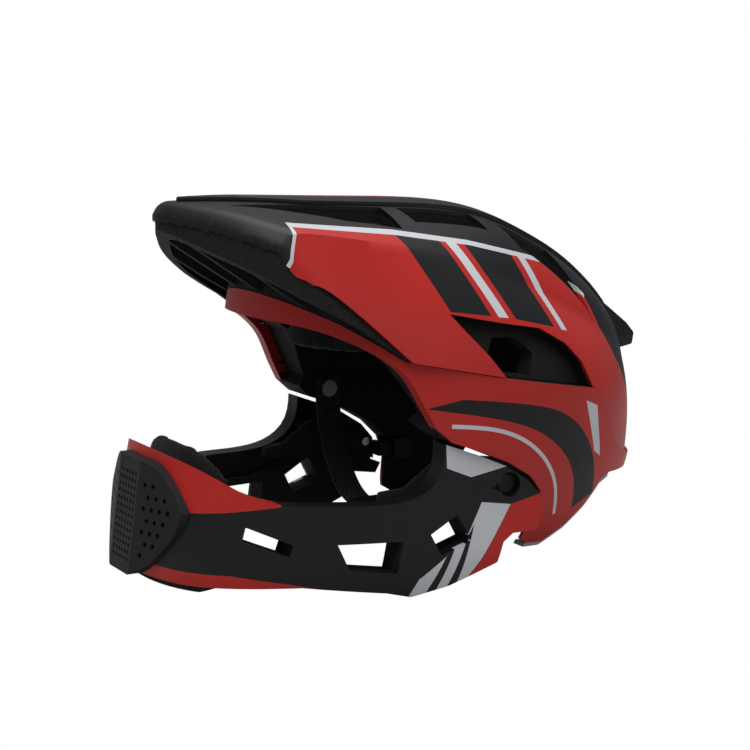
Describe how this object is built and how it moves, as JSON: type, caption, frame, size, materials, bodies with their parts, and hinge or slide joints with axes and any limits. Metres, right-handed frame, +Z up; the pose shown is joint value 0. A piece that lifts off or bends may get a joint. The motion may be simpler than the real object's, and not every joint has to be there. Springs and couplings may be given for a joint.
{
  "type": "full face bike helmet",
  "caption": "Full face downhill bike helmet: fixed visor, vented crown, pull-off chin guard with pierced mouth vent, buckled strap and dial-set nape bands.",
  "frame": {"origin": "middle of the footprint, on the plane under the lowest edge of the chin guard", "axes": "+X to the wearer's left, -Y the way the wearer looks, +Z up"},
  "size_m": [0.1948, 0.3278, 0.2103],
  "materials": {
    "red_shell": "satin",
    "black_shell": "matte",
    "foam": "matte",
    "black_plastic": "satin",
    "grey_trim": "matte",
    "pad": "matte",
    "webbing": "matte",
    "steel": "satin"
  },
  "bodies": {
    "helmet": {"upper_shell": "red_shell", "lower_shell": "red_shell", "upper_liner": "foam", "visor_foam": "foam", "lower_liner": "foam", "brow_foam": "foam", "lobe_trim": "grey_trim", "forehead_pad": "pad", "side_pad_left": "pad", "side_pad_right": "pad", "crown_pad": "pad", "nape_pad": "pad", "cradle": "black_plastic", "strap_left": "webbing", "strap_right": "webbing", "strap_anchors": "steel", "buckle_socket": "black_plastic", "latch_socket_left": "black_plastic", "latch_socket_right": "black_plastic"},
    "chin_guard": {"chin_shell": "black_shell", "chin_liner": "foam", "mouth_vent": "black_plastic", "chin_pad": "pad", "jaw_pad_left": "pad", "jaw_pad_right": "pad", "latch_plate_left": "black_plastic", "latch_plate_right": "black_plastic", "plate_screws": "steel"},
    "latch_button_left": {"latch_button_left": "black_plastic"},
    "latch_button_right": {"latch_button_right": "black_plastic"},
    "adjuster_dial": {"adjuster_dial": "black_plastic"},
    "band_left": {"band_left": "black_plastic"},
    "band_right": {"band_right": "black_plastic"},
    "buckle_tongue": {"buckle_tongue": "black_plastic"}
  },
  "joints": [
    {"name": "chin_guard_pull_off", "type": "slide", "parent": "helmet", "child": "chin_guard", "axis": [0, -1, 0], "range_m": [0, 0.07]},
    {"name": "left_latch_press", "type": "slide", "parent": "chin_guard", "child": "latch_button_left", "axis": [-1, 0, 0], "range_m": [0, 0.003], "stiffness_N_per_m": 300, "springref_m": -0.002},
    {"name": "right_latch_press", "type": "slide", "parent": "chin_guard", "child": "latch_button_right", "axis": [1, 0, 0], "range_m": [0, 0.003], "stiffness_N_per_m": 300, "springref_m": -0.002},
    {"name": "dial_turn", "type": "hinge", "parent": "helmet", "child": "adjuster_dial", "pos_m": [0, 0.12, 0.042], "axis": [0, 1, 0], "range_deg": [-90, 90]},
    {"name": "left_band_draw", "type": "hinge", "parent": "helmet", "child": "band_left", "pos_m": [0, 0.056, 0.042], "axis": [0, 0, 1], "range_deg": [-6, 6]},
    {"name": "right_band_draw", "type": "hinge", "parent": "helmet", "child": "band_right", "pos_m": [0, 0.056, 0.042], "axis": [0, 0, 1], "range_deg": [-6, 6]},
    {"name": "buckle_pull", "type": "slide", "parent": "helmet", "child": "buckle_tongue", "axis": [-1, 0, 0], "range_m": [0, 0.02], "deforming": ["strap_right"]}
  ],
  "couplings": [
    {"joint": "left_band_draw", "follows": "dial_turn", "ratio": -0.06333},
    {"joint": "right_band_draw", "follows": "dial_turn", "ratio": 0.06333}
  ]
}
